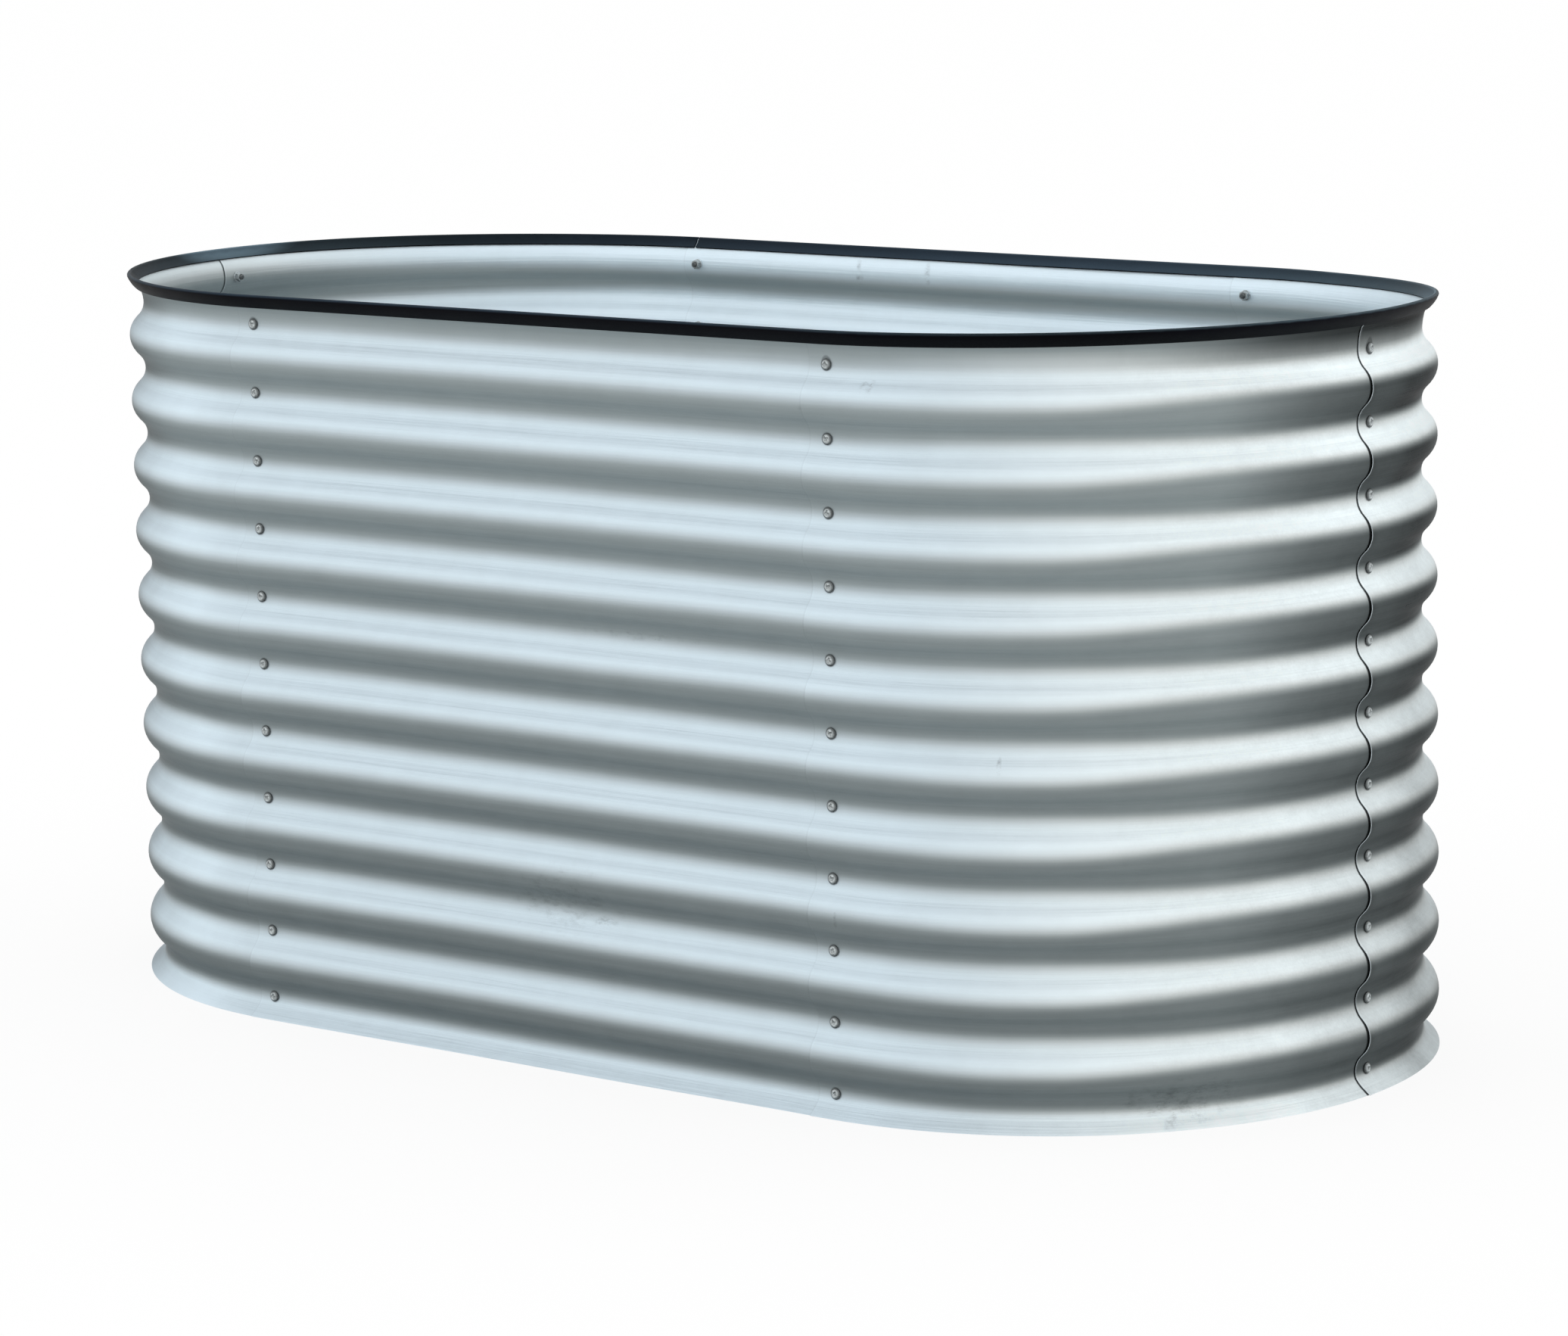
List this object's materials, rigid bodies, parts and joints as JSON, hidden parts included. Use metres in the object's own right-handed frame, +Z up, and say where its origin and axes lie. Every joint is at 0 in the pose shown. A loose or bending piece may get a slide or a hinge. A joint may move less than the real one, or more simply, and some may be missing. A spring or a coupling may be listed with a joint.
{
  "type": "raised garden bed",
  "caption": "Oval raised garden bed of bolted corrugated galvanised steel sheets, open at top and bottom, with black rubber edging on the rim.",
  "frame": {"origin": "centre of the open bottom, level with the bottom edge of the sheets", "axes": "+X along the bed, -Y towards the front, +Z up"},
  "size_m": [1.6187, 0.8308, 0.8143],
  "materials": {
    "galvanised_sheet": "hot-dip galvanised, smooth, satin",
    "edging_rubber": "extruded rubber, satin",
    "bolt_steel": "zinc plated, dull",
    "washer_steel": "zinc plated, dull",
    "nut_steel": "zinc plated, dull"
  },
  "bodies": {
    "root": {"front_panel": "galvanised_sheet", "front_right_panel": "galvanised_sheet", "back_right_panel": "galvanised_sheet", "back_panel": "galvanised_sheet", "back_left_panel": "galvanised_sheet", "front_left_panel": "galvanised_sheet", "rim_edging": "edging_rubber", "bolts_front_left": "bolt_steel", "washers_front_left": "washer_steel", "nuts_front_left": "nut_steel", "bolts_front_right": "bolt_steel", "washers_front_right": "washer_steel", "nuts_front_right": "nut_steel", "bolts_right_end": "bolt_steel", "washers_right_end": "washer_steel", "nuts_right_end": "nut_steel", "bolts_back_right": "bolt_steel", "washers_back_right": "washer_steel", "nuts_back_right": "nut_steel", "bolts_back_left": "bolt_steel", "washers_back_left": "washer_steel", "nuts_back_left": "nut_steel", "bolts_left_end": "bolt_steel", "washers_left_end": "washer_steel", "nuts_left_end": "nut_steel"}
  },
  "joints": []
}
